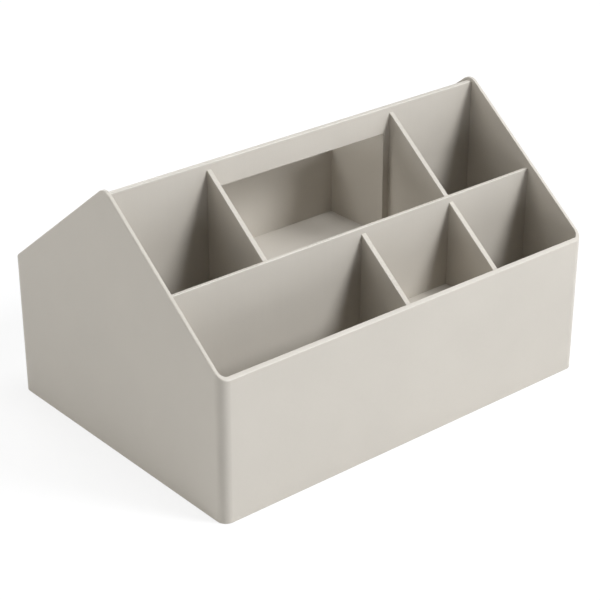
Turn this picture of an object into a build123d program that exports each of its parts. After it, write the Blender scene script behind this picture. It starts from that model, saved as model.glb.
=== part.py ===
"""Gable-ended storage caddy: a moulded tray shaped like a small house with no roof.

A drafted outer wall rises to a peak at each end. A handle panel spans the two peaks and has a wide
hand opening. Two long dividers run beside it, and cross dividers part the space into deep bins,
with shallower bins under the handle and in the middle of each outer row.

Millimetres. +X along the handle, +Y towards the back, +Z up. The origin is the centre of the foot.
"""
from build123d import *
from math import radians, tan
import os

# Overall size
LENGTH = 370.5            # over the two gable ends, at their widest
DEPTH = 265.5             # over the front and back walls, at their rims
RIM_HEIGHT = 117.5        # top of the front and back walls, on their outer faces
RIDGE_HEIGHT = 221.0      # where the two gable slopes would meet if the peak were sharp

# Outer wall
WALL = 3.2                # thickness of the four outer walls
WALL_DRAFT = 0.2          # degrees that the outer walls lean outwards
CORNER_RADIUS = 8.0       # upright outer corners, at the foot
PEAK_RADIUS = 10.0        # rounding of the two gable peaks
RIM_ROUND = 1.2           # soft outer edge of the rim
RIM_INNER_ROUND = 0.5     # inner edge of the rim
FOOT_ROUND = 0.5          # outer edge of the foot

# Floor
FOOT_STEP = 1.5           # how far the walls reach below the floor, as a foot ring
FLOOR = 2.8               # thickness of the floor and of the raised floors
POCKET_RADIUS = 2.5       # corners of the openings under the raised floors

# Handle panel
PANEL_DRAFT = 0.2         # degrees that each face of an inner panel leans
HANDLE_THICKNESS = 4.5    # at its top edge
HANDLE_DROP = 5.1         # its top edge lies this far below the sharp ridge
HANDLE_ROUND = 1.1        # both top edges
GRIP_HEIGHT = 21.8        # bar above the hand opening
OPENING_LENGTH = 168.0    # hand opening, from end to end
OPENING_RADIUS = 1.0      # its two upper corners
OPENING_ROUND = 0.5       # its edges, where the fingers go

# Long dividers, one each side of the handle
LONG_THICKNESS = 3.2      # at the top edge
LONG_OFFSET = 69.2        # from the middle of the handle to the middle of the divider
LONG_DROP = 7.6           # its top edge lies this far below the gable slope
LONG_ROUND = 0.7          # both top edges

# Cross dividers
CROSS_THICKNESS = 4.0     # at the level of the handle's top edge
CROSS_ROUND = 0.6         # both top edges
UPPER_SPACING = 184.4     # between the two beside the hand opening, middle to middle
UPPER_DROP = 8.8          # their tops lie this far below the gable slope
ROW_INNER_X = 1.8         # front row: the divider near the middle
ROW_OUTER_X = 94.8        # front row: the divider near the right end
ROW_DROP = 11.5           # the tops of the row dividers below the gable slope

# Raised floors, measured to the surface that the contents lie on
HAND_FLOOR_HEIGHT = 101.0
MIDDLE_FLOOR_HEIGHT = 83.0

# Worked out from the sizes above
SLOPE = (RIDGE_HEIGHT - RIM_HEIGHT) / (DEPTH / 2)
WALL_LEAN = tan(radians(WALL_DRAFT))
PANEL_LEAN = tan(radians(PANEL_DRAFT))
FOOT_LENGTH = LENGTH - 2 * WALL_LEAN * RIDGE_HEIGHT
FOOT_DEPTH = DEPTH - 2 * WALL_LEAN * RIM_HEIGHT
FLOOR_TOP = FOOT_STEP + FLOOR
HANDLE_TOP = RIDGE_HEIGHT - HANDLE_DROP
OPENING_TOP = HANDLE_TOP - GRIP_HEIGHT
SILL_HEIGHT = HAND_FLOOR_HEIGHT - FLOOR
LONG_TOP = RIDGE_HEIGHT - SLOPE * LONG_OFFSET - LONG_DROP
UPPER_X = UPPER_SPACING / 2

# Tests on faces and edges
FACES_UP = 0.5            # least upward share of the normal of a top face
UPRIGHT = 0.9             # least upward share of the direction of an upright edge
TOUCHING = 0.01           # gap below which an edge lies on a solid


def drafted_block(inset):
    """Rounded block that widens upwards, inset from the outer faces of the walls."""
    outline = RectangleRounded(
        FOOT_LENGTH - 2 * inset,
        FOOT_DEPTH - 2 * inset,
        CORNER_RADIUS - inset,
    )
    return extrude(outline, amount=RIDGE_HEIGHT, taper=-WALL_DRAFT)


def under_slopes(drop, peak_radius=None):
    """Everything below the two gable slopes, lowered by a drop, over the whole length."""
    ridge = RIDGE_HEIGHT - drop
    eave = ridge - SLOPE * DEPTH
    base = min(eave, 0) - DEPTH
    house = Polygon(
        (-DEPTH, base), (DEPTH, base), (DEPTH, eave), (0, ridge), (-DEPTH, eave), align=None
    )
    if peak_radius:
        house = fillet(house.vertices().sort_by(Axis.Y)[-1], peak_radius)
    return extrude(Plane.YZ * house, amount=LENGTH, both=True)


def thickness_at(thickness, top, height):
    """Thickness of a drafted panel at a height, from its thickness at its top."""
    return thickness + 2 * PANEL_LEAN * (top - height)


def panel_profile(thickness, top):
    """Section across a drafted panel that stands on the floor."""
    half_top = thickness / 2
    half_foot = thickness_at(thickness, top, FLOOR_TOP) / 2
    return Polygon(
        (-half_foot, FLOOR_TOP), (half_foot, FLOOR_TOP), (half_top, top), (-half_top, top), align=None
    )


def top_faces(panel):
    return panel.faces().filter_by(lambda face: face.normal_at().Z > FACES_UP)


def round_top(panel, radius):
    """Round the two long edges of a panel's top."""
    edges = [edge for face in top_faces(panel) for edge in face.edges()]
    longest = max(edge.length for edge in edges)
    return fillet([edge for edge in edges if edge.length > longest / 2], radius)


def long_panel(thickness, top, offset, radius):
    """Panel along the caddy, with a level top edge, that ends on the inner faces of the gables."""
    profile = Plane.YZ * Pos(offset, 0) * panel_profile(thickness, top)
    return round_top(extrude(profile, amount=LENGTH, both=True), radius) & cavity


def cross_divider(x, y_from, y_to, drop, neighbours):
    """Divider across the caddy: its top follows the gable slope, its ends meet the neighbours."""
    profile = Plane.XZ.offset(-y_from) * Pos(x, 0) * panel_profile(CROSS_THICKNESS, HANDLE_TOP)
    divider = extrude(profile, amount=y_from - y_to) & under_slopes(drop)
    divider = round_top(divider, CROSS_ROUND) & cavity
    for neighbour in neighbours:
        divider = divider - neighbour
    return divider


def raised_floor(x_from, x_to, y_from, y_to, height, neighbours):
    """Floor of a shallow bin: it fills the space between the panels around it."""
    plate = Pos((x_from + x_to) / 2, (y_from + y_to) / 2, height - FLOOR / 2) * Box(
        x_to - x_from, y_to - y_from, FLOOR
    )
    plate = plate & cavity
    for neighbour in neighbours:
        plate = plate - neighbour
    return plate


def pocket(x_from, x_to, y_from, y_to):
    """Opening in the floor between four panels, up to their faces or past the outer wall's."""
    return Pos((x_from + x_to) / 2, (y_from + y_to) / 2, FOOT_STEP) * extrude(
        RectangleRounded(x_to - x_from, y_to - y_from, POCKET_RADIUS), amount=FLOOR
    )


def turned(shape):
    """The same shape on the other side of the handle, half round about the upright axis."""
    return shape.rotate(Axis.Z, 180)


# Outer wall: a drafted block cut by the two slopes, softened along its rim, then hollowed.
# The lines where the slopes run into the rounded ridge are left out of the softening.
cavity = drafted_block(WALL)
block = drafted_block(0) & under_slopes(0, PEAK_RADIUS)
rim = [
    edge
    for face in top_faces(block)
    for edge in face.edges()
    if max(abs(edge.center().X), abs(edge.center().Y)) > PEAK_RADIUS
]
block = fillet(rim, RIM_ROUND)
block = fillet(block.faces().sort_by(Axis.Z)[0].edges(), FOOT_ROUND)
outer_wall = block - cavity
inner_rim = [
    edge
    for edge in outer_wall.edges()
    if edge.center().Z > HAND_FLOOR_HEIGHT
    and abs(edge.tangent_at(0.5).Z) < UPRIGHT
    and cavity.distance_to(edge @ 0.5) < TOUCHING
]
outer_wall = fillet(inner_rim, RIM_INNER_ROUND)

# Handle panel, from one gable to the other, with the hand opening down to the raised floor
handle_blank = long_panel(HANDLE_THICKNESS, HANDLE_TOP, 0, HANDLE_ROUND)
opening_height = OPENING_TOP - SILL_HEIGHT
opening = Plane.XZ * Pos(0, SILL_HEIGHT + opening_height / 2) * Rectangle(OPENING_LENGTH, opening_height)
opening = fillet(opening.vertices().group_by(Axis.Z)[-1], OPENING_RADIUS)
opening_cutter = extrude(opening, amount=thickness_at(HANDLE_THICKNESS, HANDLE_TOP, 0), both=True)
handle_panel = handle_blank - opening_cutter
finger_edges = [
    edge
    for edge in handle_panel.edges()
    if edge.center().Z > SILL_HEIGHT + OPENING_ROUND
    and abs(edge.tangent_at(0.5).Y) < UPRIGHT
    and opening_cutter.distance_to(edge @ 0.5) < TOUCHING
]
handle_panel = fillet(finger_edges, OPENING_ROUND)

# Long dividers
front_long_divider = long_panel(LONG_THICKNESS, LONG_TOP, -LONG_OFFSET, LONG_ROUND)
rear_long_divider = turned(front_long_divider)

# Cross dividers beside the hand opening, from the handle panel to the long dividers
beside_upper = [handle_blank, front_long_divider]
upper_front_left = cross_divider(-UPPER_X, 0, -LONG_OFFSET, UPPER_DROP, beside_upper)
upper_front_right = cross_divider(UPPER_X, 0, -LONG_OFFSET, UPPER_DROP, beside_upper)
upper_rear_right = turned(upper_front_left)
upper_rear_left = turned(upper_front_right)

# Cross dividers of the outer rows, from the long dividers to the outer wall
beside_row = [front_long_divider]
front_row_inner = cross_divider(ROW_INNER_X, -LONG_OFFSET, -DEPTH / 2, ROW_DROP, beside_row)
front_row_outer = cross_divider(ROW_OUTER_X, -LONG_OFFSET, -DEPTH / 2, ROW_DROP, beside_row)
rear_row_inner = turned(front_row_inner)
rear_row_outer = turned(front_row_outer)

# Raised floors: one passes through the hand opening, one lies in the middle of each outer row
hand_bin_floor = raised_floor(
    -UPPER_X,
    UPPER_X,
    -LONG_OFFSET,
    LONG_OFFSET,
    HAND_FLOOR_HEIGHT,
    [
        handle_panel,
        front_long_divider,
        rear_long_divider,
        upper_front_left,
        upper_front_right,
        upper_rear_left,
        upper_rear_right,
    ],
)
front_middle_floor = raised_floor(
    ROW_INNER_X,
    ROW_OUTER_X,
    -DEPTH / 2,
    -LONG_OFFSET,
    MIDDLE_FLOOR_HEIGHT,
    [front_long_divider, front_row_inner, front_row_outer],
)
rear_middle_floor = turned(front_middle_floor)

# Floor of the deep bins. Under the raised floors it is open, as the moulding is cored from below
handle_foot = thickness_at(HANDLE_THICKNESS, HANDLE_TOP, FLOOR_TOP)
long_foot = thickness_at(LONG_THICKNESS, LONG_TOP, FLOOR_TOP)
cross_foot = thickness_at(CROSS_THICKNESS, HANDLE_TOP, FLOOR_TOP)
hand_pocket = pocket(
    -UPPER_X + cross_foot / 2,
    UPPER_X - cross_foot / 2,
    -LONG_OFFSET + long_foot / 2,
    -handle_foot / 2,
)
middle_pocket = pocket(
    ROW_INNER_X + cross_foot / 2,
    ROW_OUTER_X - cross_foot / 2,
    -DEPTH / 2,
    -LONG_OFFSET - long_foot / 2,
)
base_floor = cavity & (Pos(0, 0, FOOT_STEP + FLOOR / 2) * Box(LENGTH, DEPTH, FLOOR))
for cut in (hand_pocket, middle_pocket):
    base_floor = base_floor - cut - turned(cut)

pieces = {
    "outer_wall": outer_wall,
    "base_floor": base_floor,
    "handle_panel": handle_panel,
    "front_long_divider": front_long_divider,
    "rear_long_divider": rear_long_divider,
    "upper_front_left_divider": upper_front_left,
    "upper_front_right_divider": upper_front_right,
    "upper_rear_left_divider": upper_rear_left,
    "upper_rear_right_divider": upper_rear_right,
    "front_row_inner_divider": front_row_inner,
    "front_row_outer_divider": front_row_outer,
    "rear_row_inner_divider": rear_row_inner,
    "rear_row_outer_divider": rear_row_outer,
    "hand_bin_floor": hand_bin_floor,
    "front_middle_bin_floor": front_middle_floor,
    "rear_middle_bin_floor": rear_middle_floor,
}

os.makedirs("parts", exist_ok=True)
for name, piece in pieces.items():
    export_step(piece, f"parts/{name}.step")
    print(name, round(piece.volume / 1000, 1), "cm3")
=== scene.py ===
"""Looks of a gable-ended storage caddy: one satin plastic moulding, standing on white studio paper.

Metres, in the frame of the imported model: +X along the handle, +Y towards the back, +Z up.
"""
import math

import bpy
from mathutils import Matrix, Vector

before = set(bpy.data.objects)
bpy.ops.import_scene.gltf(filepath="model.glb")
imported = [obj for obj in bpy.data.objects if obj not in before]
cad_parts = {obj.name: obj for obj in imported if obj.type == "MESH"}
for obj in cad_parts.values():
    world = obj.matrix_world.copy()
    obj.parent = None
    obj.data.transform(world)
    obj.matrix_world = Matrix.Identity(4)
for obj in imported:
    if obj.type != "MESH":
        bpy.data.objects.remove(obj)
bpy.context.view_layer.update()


# The outer wall: four drafted walls with two gables, the outside of one injection-moulded shell in
# warm light-grey plastic. The cavity is spark-eroded, which leaves a satin skin with a fine even
# grain. The core side is stoned along the draw. The rim's up-facing edges carry a painted highlight,
# lighter in colour and a little less rough, and the foot picks up scuffs.

class Socket:
    """An output of a shader node. Operators on it add Math nodes."""

    def __init__(self, nodes, socket=None):
        self.nodes = nodes
        self.socket = socket

    def node(self, kind, settings=None, output=0, **inputs):
        """Add a node: its settings first, then its inputs by name or number, as values or links."""
        made = self.nodes.new(kind)
        for name, value in (settings or {}).items():
            setattr(made, name, value)
        for name, value in inputs.items():
            key = int(name[1:]) if name[0] == "_" else name.replace("_", " ")
            if isinstance(value, Socket):
                self.nodes.id_data.links.new(value.socket, made.inputs[key])
            else:
                made.inputs[key].default_value = value
        return Socket(self.nodes, made.outputs[output]) if made.outputs else None

    def maths(self, operation, first, second=0.0):
        return self.node("ShaderNodeMath", {"operation": operation}, _0=first, _1=second)

    def __add__(self, other):
        return self.maths("ADD", self, other)

    def __radd__(self, other):
        return self.maths("ADD", other, self)

    def __sub__(self, other):
        return self.maths("SUBTRACT", self, other)

    def __rsub__(self, other):
        return self.maths("SUBTRACT", other, self)

    def __mul__(self, other):
        return self.maths("MULTIPLY", self, other)

    def __rmul__(self, other):
        return self.maths("MULTIPLY", other, self)

    def __abs__(self):
        return self.maths("ABSOLUTE", self)

    def between(self, none, full):
        """A soft step: 0 where the value is none, 1 where it is full."""
        return self.node(
            "ShaderNodeMapRange", {"interpolation_type": "SMOOTHSTEP"},
            Value=self, From_Min=none, From_Max=full,
        )

    def noise(self, cell, detail=0.0, stretch=(1, 1, 1)):
        """Noise about its mean, -1 to 1, with cells of this size in metres."""
        drawn = self.node("ShaderNodeVectorMath", {"operation": "MULTIPLY"}, _0=self, _1=stretch)
        return 2 * self.node("ShaderNodeTexNoise", Vector=drawn, Scale=1 / cell, Detail=detail) - 1

    def axis(self, number):
        return self.node("ShaderNodeSeparateXYZ", output=number, Vector=self)


WARM_GREY = (0.55, 0.513, 0.457)
DARKER = 0.975         # of the warm grey, at shade 0
LIGHTER = 1.025        # of the warm grey, at shade 1
EVEN_SHADE = 0.5
SATIN = 0.4            # roughness of the spark-eroded skin
MELT_CELL = 0.055      # the slow unevenness that the melt leaves
MELT_SHADE = 0.9
MELT_ROUGHNESS = 0.06
PIGMENT_CELL = 0.0012
PIGMENT_SHADE = 0.35
GRAIN_CELL = 0.0005
GRAIN_HEIGHT = 0.00003
RIPPLE_CELL = 0.009    # the faint ripple of a cooled wall
RIPPLE_HEIGHT = 0.00002
DRAW_CELL = 0.0016     # width of the marks that stoning leaves along the draw
DRAW_STRETCH = (1, 1, 0.02)
DRAW_SHADE = 0.25
DRAW_ROUGHNESS = 0.05
WEAR_AND_HIGHLIGHT_SHADE = 0.8    # lighter and smoother: hand wear on the grip, painted highlight on the tops
BURNISH_GLOSS = 0.05
SCUFF_CELLS = (0.03, 0.02)                     # scuffs run two ways, one for each cell and stretch
SCUFF_STRETCHES = ((1, 0.35, 1), (0.3, 1, 1))
SCUFF_WIDTH = 0.02     # of a scuff, in the noise's own measure
SCUFF_SHADE = 0.6
SCUFF_DULLING = 0.08   # roughness added between the scuffs
SCUFF_ROUGHNESS = 0.1  # and on top of that, in each scuff


def moulded(name, cored=1.0, wear_and_highlight=None, scuffed=None):
    """The moulding's skin. cored, wear_and_highlight and scuffed say where it is stoned, where it is
    lighter (hand wear on the grip, painted highlight on the tops) and where it is scuffed.
    They are functions of the place on the object and of the way that the surface faces, and cored
    may be a number."""
    material = bpy.data.materials.new(name)
    material.use_nodes = True
    nodes = material.node_tree.nodes
    nodes.clear()
    place = Socket(nodes).node("ShaderNodeTexCoord", output="Object")
    facing = Socket(nodes).node("ShaderNodeNewGeometry", output="Normal")

    melt = place.noise(MELT_CELL, detail=2.0)
    pigment = place.noise(PIGMENT_CELL, detail=1.0)
    draw = place.noise(DRAW_CELL, detail=2.0, stretch=DRAW_STRETCH)
    draw = draw * (cored(place, facing) if callable(cored) else cored)
    grain = place.noise(GRAIN_CELL, detail=1.0)
    ripple = place.noise(RIPPLE_CELL)
    shade = EVEN_SHADE + MELT_SHADE * melt + PIGMENT_SHADE * pigment + DRAW_SHADE * draw
    roughness = SATIN + MELT_ROUGHNESS * melt + DRAW_ROUGHNESS * draw
    height = GRAIN_HEIGHT * grain + RIPPLE_HEIGHT * ripple
    # Lighter and less rough where this mask is 1: hand wear on the grip, a painted highlight on up-facing
    # tops.
    if wear_and_highlight:
        wear_and_highlight_level = wear_and_highlight(place, facing)
        shade = shade + WEAR_AND_HIGHLIGHT_SHADE * wear_and_highlight_level
        roughness = roughness - BURNISH_GLOSS * wear_and_highlight_level
    if scuffed:
        worn = scuffed(place, facing)
        lines = sum(
            1 - abs(place.noise(cell, detail=3.0, stretch=stretch)).between(0.0, SCUFF_WIDTH)
            for cell, stretch in zip(SCUFF_CELLS, SCUFF_STRETCHES)
        )
        shade = shade + worn * (SCUFF_SHADE * lines)
        roughness = roughness + worn * (SCUFF_DULLING + SCUFF_ROUGHNESS * lines)

    colour = place.node(
        "ShaderNodeMix", {"data_type": "RGBA", "clamp_factor": False}, output=2, _0=shade,
        _6=(*(c * DARKER for c in WARM_GREY), 1.0), _7=(*(c * LIGHTER for c in WARM_GREY), 1.0),
    )
    skin = place.node("ShaderNodeBump", Height=height, Strength=1.0, Distance=1.0)
    surface = place.node("ShaderNodeBsdfPrincipled", Base_Color=colour, Roughness=roughness, Normal=skin)
    surface.node("ShaderNodeOutputMaterial", Surface=surface)
    return material


def dress(names, material):
    """Give CAD nodes this material, as the record's satin plastic."""
    for name in names:
        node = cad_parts[name]
        node.data.materials.clear()
        node.data.materials.append(material)


TOP_TILT = (0.2, 0.9)          # how far upwards an edge looks where the painted highlight starts, and where it is full
CORE_SIDE = (0.01, -0.01)      # metres from the middle along the normal: below 0, a face looks inwards
FOOT_WEAR = (0.006, 0.0005)    # height where the scuffs end, and where they are full


# A painted highlight: up-facing edges and tops are made lighter in colour.
def painted_top_highlight(place, facing):
    return facing.axis("Z").between(*TOP_TILT)


def facing_in(place, facing):
    """1 on the faces that look towards the middle of the caddy."""
    level = place.node("ShaderNodeVectorMath", {"operation": "MULTIPLY"}, _0=place, _1=(1, 1, 0))
    outwards = place.node(
        "ShaderNodeVectorMath", {"operation": "DOT_PRODUCT"}, output="Value", _0=level, _1=facing
    )
    return outwards.between(*CORE_SIDE)


def near_foot(place, facing):
    return place.axis("Z").between(*FOOT_WEAR)


dress(["outer_wall"], moulded("wall_skin", cored=facing_in, wear_and_highlight=painted_top_highlight, scuffed=near_foot))


# The base floor: the bottom of the deep bins, moulded in one with the walls, which reach below it as
# the foot ring. What is dropped in and picked out leaves it a little duller, with fine scuffs.

FLOOR_STONING = 0.3    # a floor lies across the draw and shows less of the stoning than a wall
LEVEL = (0.7, 0.95)    # how far up or down a face looks where the scuffs start, and where they are full


def level_faces(place, facing):
    return abs(facing.axis("Z")).between(*LEVEL)


dress(["base_floor"], moulded("floor_skin", cored=FLOOR_STONING, scuffed=level_faces))


# The handle panel: an upright panel from peak to peak with the hand opening cut through it. It is
# stoned along the draw like the rest of the core, and the bar over the opening is burnished by hands.

GRIP_HALF = 0.084      # half the length of the hand opening
GRIP_BOTTOM = 0.1941   # top of the hand opening
GRIP_FADE = 0.012


def gripped(place, facing):
    over = place.axis("Z").between(GRIP_BOTTOM - GRIP_FADE, GRIP_BOTTOM + GRIP_FADE)
    along = abs(place.axis("X")).between(GRIP_HALF + GRIP_FADE, GRIP_HALF - GRIP_FADE)
    return over * along


dress(["handle_panel"], moulded("handle_skin", wear_and_highlight=gripped))


# The long dividers: two level-topped panels from gable to gable, one on each side of the handle.
# They are thin ribs of the same moulding, and their top edges carry a stronger painted highlight than the
# rim.

TOP_HIGHLIGHT_GAIN = 2.2           # strength of the painted top highlight, against 1 on the rim


# A painted highlight: up-facing tops are made lighter in colour, more than on the rim.
def stronger_top_highlight(place, facing):
    return TOP_HIGHLIGHT_GAIN * painted_top_highlight(place, facing)


dress(["front_long_divider", "rear_long_divider"], moulded("long_divider_skin", wear_and_highlight=stronger_top_highlight))


# The cross dividers: eight ribs whose tops slope with the gables. The four in the outer rows stand on
# both sides of the middle bins, and their tops carry the same painted highlight as those of the long
# dividers. The four beside the handle part off the hand bins, and their tops have no painted highlight.

dress([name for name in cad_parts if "_row_" in name], moulded("row_divider_skin", wear_and_highlight=stronger_top_highlight))
dress([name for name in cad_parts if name.startswith("upper_")], moulded("upper_divider_skin"))


# The raised floors: the shallow bins' floors, which close off the cored pockets below. The hand bins'
# floor runs on through the opening. They show fine scuffs like the deep floor, and catch more light.

dress(
    ["hand_bin_floor", "front_middle_bin_floor", "rear_middle_bin_floor"],
    moulded("raised_floor_skin", cored=FLOOR_STONING, scuffed=level_faces),
)


# The studio: a sheet of white paper under the caddy and soft lamps round it. The camera and the gloss
# see the paper as plain white, with the caddy's shadow left faintly on it.

PAPER_HALF = 8.0
PAPER_WHITE = 0.85
SHADOW_SHARE = 0.25    # how much of the lamps' light on the paper is seen, and so of the shadow
PAPER_LIGHT = 0.9      # brightness of fully white paper under the lamps
SHADOW_REACH = 1.0     # the paper shows the shadow in full up to here
PLAIN_FROM = 2.5       # and from here on it is seen as plain white


def seen(start):
    """1 for what the camera sees, directly or in gloss or glass."""
    camera, gloss, glass = (
        start.node("ShaderNodeLightPath", output=ray)
        for ray in ("Is Camera Ray", "Is Glossy Ray", "Is Transmission Ray")
    )
    return start.maths("MAXIMUM", start.maths("MAXIMUM", camera, gloss), glass)


corners = [(x * PAPER_HALF, y * PAPER_HALF, 0) for x, y in ((-1, -1), (1, -1), (1, 1), (-1, 1))]
mesh = bpy.data.meshes.new("paper")
mesh.from_pydata(corners, [], [(0, 1, 2, 3)])
paper = bpy.data.objects.new("paper", mesh)
bpy.context.scene.collection.objects.link(paper)
material = bpy.data.materials.new("white_paper")
material.use_nodes = True
nodes = material.node_tree.nodes
nodes.clear()
start = Socket(nodes)
matt = start.node("ShaderNodeBsdfDiffuse", Color=(PAPER_WHITE, PAPER_WHITE, PAPER_WHITE, 1))
shadowed = start.node("ShaderNodeBsdfDiffuse", Color=(SHADOW_SHARE, SHADOW_SHARE, SHADOW_SHARE, 1))
glow = start.node("ShaderNodeEmission", Color=(1, 1, 1, 1), Strength=1 - SHADOW_SHARE * PAPER_LIGHT)
near = start.node("ShaderNodeAddShader", _0=shadowed, _1=glow)
plain = start.node("ShaderNodeEmission", Color=(1, 1, 1, 1), Strength=1.0)
spot = start.node("ShaderNodeTexCoord", output="Object")
away = start.node("ShaderNodeVectorMath", {"operation": "LENGTH"}, output="Value", _0=spot)
white = start.node("ShaderNodeMixShader", _0=away.between(SHADOW_REACH, PLAIN_FROM), _1=near, _2=plain)
sheet = start.node("ShaderNodeMixShader", _0=seen(start), _1=matt, _2=white)
start.node("ShaderNodeOutputMaterial", Surface=sheet)
mesh.materials.append(material)

world = bpy.data.worlds.new("studio")
world.use_nodes = True
nodes = world.node_tree.nodes
nodes.clear()
start = Socket(nodes)
sky = start.node("ShaderNodeBackground", Color=(1, 1, 1, 1), Strength=seen(start))
start.node("ShaderNodeOutputWorld", Surface=sky)
bpy.context.scene.world = world

LAMP_DISTANCE = 5.0
LAMP_AIM = Vector((0, 0, 0.1))
COOL = (0.983, 1.0, 1.02)
WARM = (1.03, 1.0, 0.925)


def from_direction(azimuth, elevation):
    """The way from the caddy to what stands at this bearing from its front, in degrees."""
    azimuth = math.radians(azimuth)
    elevation = math.radians(elevation)
    level = math.cos(elevation)
    return Vector((math.sin(azimuth) * level, -math.cos(azimuth) * level, math.sin(elevation)))


def lamp(name, azimuth, elevation, size, power, colour=COOL):
    """A round softbox, turned to the caddy."""
    data = bpy.data.lights.new(name, "AREA")
    data.shape = "DISK"
    data.size = size
    data.energy = power
    data.color = colour
    made = bpy.data.objects.new(name, data)
    away = from_direction(azimuth, elevation)
    made.location = LAMP_AIM + LAMP_DISTANCE * away
    made.rotation_mode = "QUATERNION"
    made.rotation_quaternion = (-away).to_track_quat("-Z", "Y")
    bpy.context.scene.collection.objects.link(made)


lamp("key", azimuth=34.5, elevation=33, size=2.0, power=217.0)
lamp("key_skirt", azimuth=45, elevation=8, size=2.4, power=35.0)
lamp("overhead", azimuth=60, elevation=84, size=2.0, power=86.0)
lamp("left_fill", azimuth=-108, elevation=14, size=5.0, power=75.3, colour=WARM)
lamp("left_back_fill", azimuth=-135, elevation=50, size=2.8, power=66.0)
lamp("back_fill", azimuth=160, elevation=15, size=2.8, power=52.0)


# The camera: at the photograph's viewing angle, from the front left and above.

AZIMUTH = -40.155
ELEVATION = 26.852
DISTANCE = 1.45
AIM = Vector((-0.0076, -0.0069, 0.0760))
LENS_MM = 108.54
SENSOR_MM = 36.0

back = from_direction(AZIMUTH, ELEVATION)
camera_data = bpy.data.cameras.new("camera")
camera_data.lens = LENS_MM
camera_data.sensor_width = SENSOR_MM
camera = bpy.data.objects.new("camera", camera_data)
camera.location = AIM + DISTANCE * back
camera.rotation_mode = "QUATERNION"
camera.rotation_quaternion = (-back).to_track_quat("-Z", "Y")
bpy.context.scene.collection.objects.link(camera)
bpy.context.scene.camera = camera
bpy.context.scene.view_settings.view_transform = "Standard"
